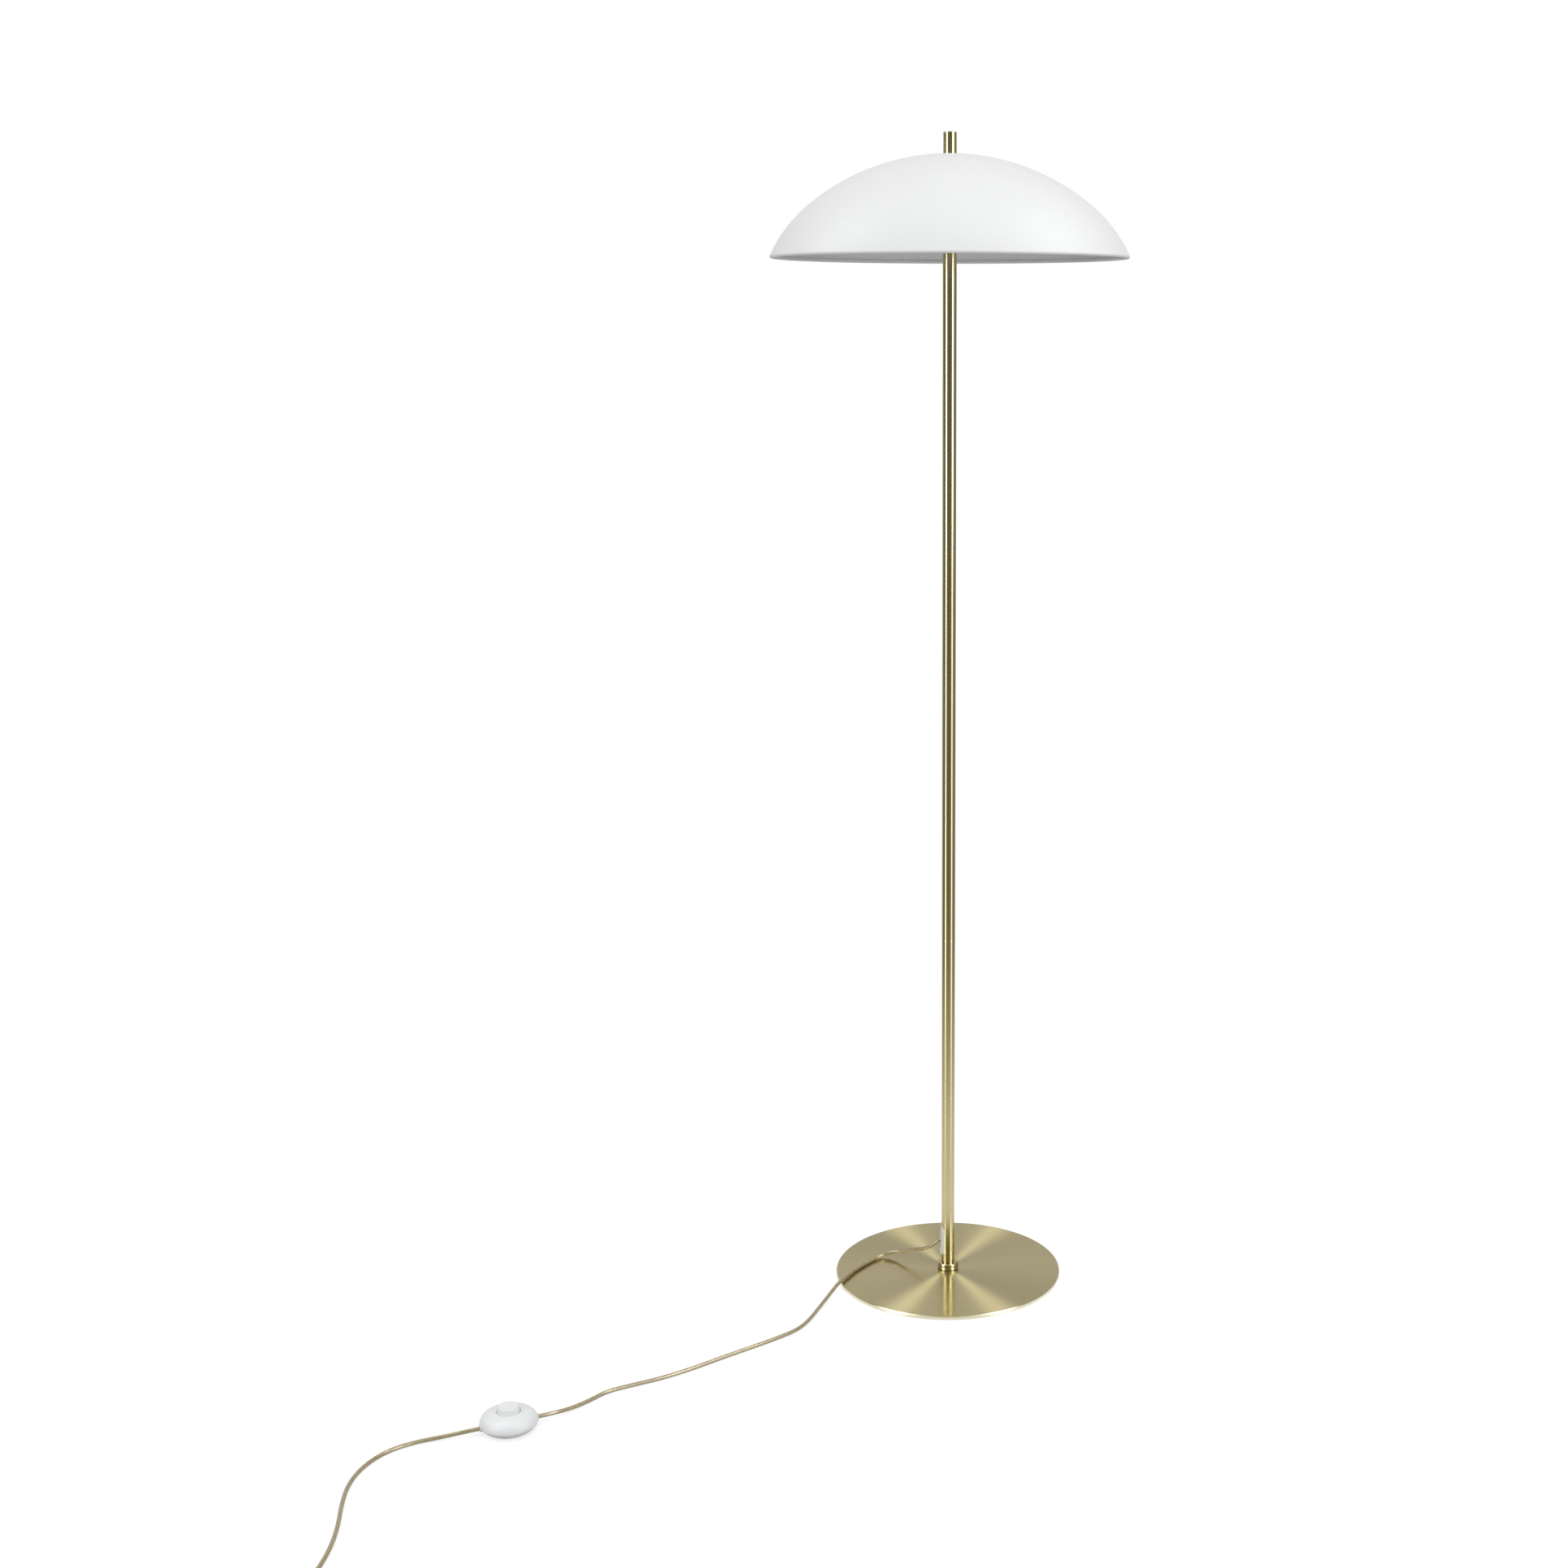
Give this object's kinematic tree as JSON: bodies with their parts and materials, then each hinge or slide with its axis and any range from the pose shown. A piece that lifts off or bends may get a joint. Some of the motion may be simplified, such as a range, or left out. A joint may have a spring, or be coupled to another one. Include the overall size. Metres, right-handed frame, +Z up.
{
  "type": "mushroom floor lamp",
  "caption": "Floor lamp with a wide domed shade on a slim jointed pole, a thin round foot plate, lampholders under the dome, a foot switch and a plug on its cord.",
  "frame": {"origin": "on the floor, on the axis of the pole, under the middle of the foot plate", "axes": "+Z up along the pole, which is the longest extent; the cord leaves the pole towards -X and runs to -Y; the lampholders lie along X"},
  "size_m": [0.8205, 0.977, 1.379],
  "materials": {
    "brass": "satin, fine brushed",
    "white_paint": "matt white powder coat",
    "steel": "zinc plated",
    "thread_brass": "plain turned",
    "clear_plastic": "clear moulded",
    "white_plastic": "moulded, slightly glossy",
    "cord_gold": "translucent gold sheath",
    "lead_insulation": "insulated core",
    "ceramic": "pressed insulating block",
    "holder_plastic": "matt moulded",
    "opal": "opal diffuser",
    "bulb_metal": "bright cap",
    "felt": "soft pad",
    "rubber": "soft",
    "spring_steel": "drawn wire"
  },
  "bodies": {
    "lamp": {"base_pad": "felt", "base_plate": "brass", "foot_screw": "steel", "foot_insert": "thread_brass", "foot_collar": "brass", "lower_tube": "brass", "middle_tube": "brass", "upper_tube": "brass", "lower_tube_insert": "thread_brass", "middle_tube_stud": "thread_brass", "middle_tube_insert": "thread_brass", "upper_tube_stud": "thread_brass", "upper_tube_insert": "thread_brass", "outlet_guard": "clear_plastic", "guard_screw": "steel", "hub_cup": "white_paint", "hub_nipple": "thread_brass", "hub_nut": "steel", "terminal_block": "ceramic", "hub_cap": "white_paint", "shade_rod": "steel", "shade_gasket": "rubber", "shade_nut": "steel", "finial": "brass", "shade": "white_paint", "arm_nipples": "thread_brass", "arm_nuts": "steel", "holder_cap_right": "holder_plastic", "holder_cap_left": "holder_plastic", "holder_sleeve_right": "holder_plastic", "holder_sleeve_left": "holder_plastic", "contact_blocks": "ceramic", "centre_contacts": "thread_brass", "screw_shells": "thread_brass", "bulb_cap_right": "bulb_metal", "bulb_cap_left": "bulb_metal", "bulb_body_right": "holder_plastic", "bulb_body_left": "holder_plastic", "bulb_globe_right": "opal", "bulb_globe_left": "opal", "hub_leads": "lead_insulation", "switch_base": "white_plastic", "switch_cover": "white_plastic", "switch_works": "ceramic", "switch_spring": "spring_steel", "switch_grommets": "clear_plastic", "switch_leads": "cord_gold", "switch_screws": "steel", "switch_feet": "rubber", "pole_cord": "cord_gold", "cord_lamp_to_switch": "cord_gold", "cord_switch_to_coil": "cord_gold", "cord_coil": "cord_gold", "cord_tail": "cord_gold", "plug_body": "white_plastic", "plug_sleeve": "white_plastic", "plug_pins": "thread_brass", "plug_pin_sleeves": "white_plastic"},
    "foot_button": {"switch_button": "white_plastic"}
  },
  "joints": [
    {"name": "foot_button_press", "type": "slide", "parent": "lamp", "child": "foot_button", "axis": [0, 0, -1], "range_m": [0, 0.0035], "stiffness_N_per_m": 300, "springref_m": -0.008, "deforming": ["switch_spring"]}
  ]
}
